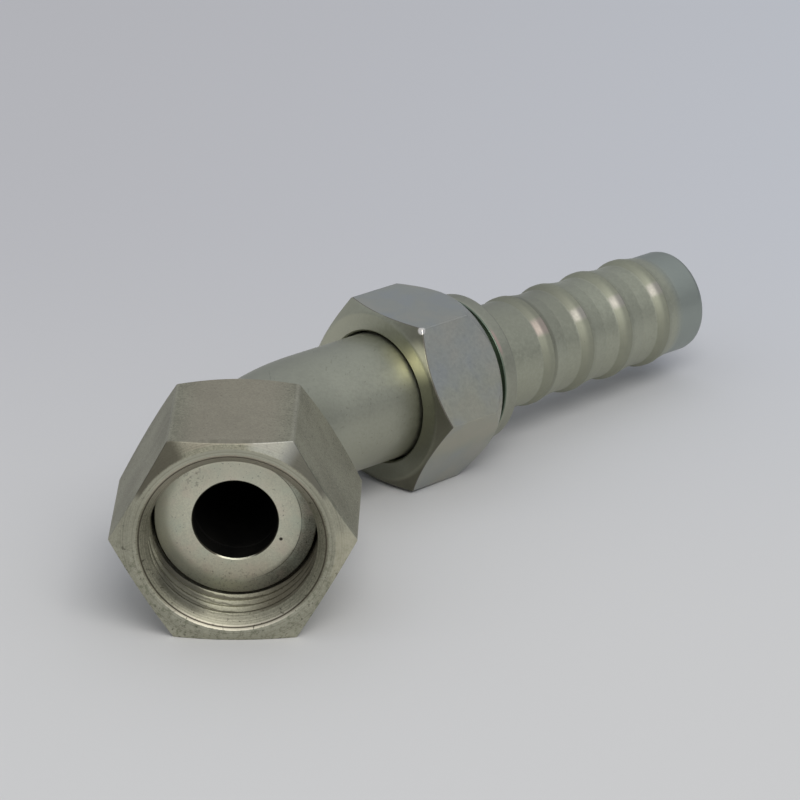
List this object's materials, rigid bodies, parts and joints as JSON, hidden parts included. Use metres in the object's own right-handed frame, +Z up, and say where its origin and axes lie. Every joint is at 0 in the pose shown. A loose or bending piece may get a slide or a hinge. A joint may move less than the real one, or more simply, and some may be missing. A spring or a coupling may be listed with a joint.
{
  "type": "crimp hose fitting",
  "caption": "Swept 45 degree elbow hose fitting with a hexagonal swivel nut, a flat sealing face, a bent steel tube and a barbed insert for a crimped hose.",
  "frame": {"origin": "middle of the lying fitting's box, on the surface that it lies on", "axes": "+Y from the nut's open mouth towards the bend along the nut's axis, +X to the side that the elbow turns to, +Z up from the flat that the nut stands on"},
  "size_m": [0.0682, 0.0828, 0.024],
  "materials": {
    "nut_zinc": "grainy dull zinc plating on machined hexagon bar",
    "seat_zinc": "dull zinc plating on a turned face, with small dark specks",
    "tube_zinc": "smooth satin zinc plating on drawn tube, with faint scratches",
    "insert_zinc": "smooth satin zinc plating on turned hexagon bar"
  },
  "bodies": {
    "fitting_body": {"seat_sleeve": "seat_zinc", "bent_tube": "tube_zinc", "hose_insert": "insert_zinc"},
    "nut": {"swivel_nut": "nut_zinc"}
  },
  "joints": [
    {"name": "nut_spin", "type": "hinge", "parent": "fitting_body", "child": "nut", "pos_m": [-0.02028, -0.03227, 0.012], "axis": [0, 1, 0], "continuous": true}
  ]
}
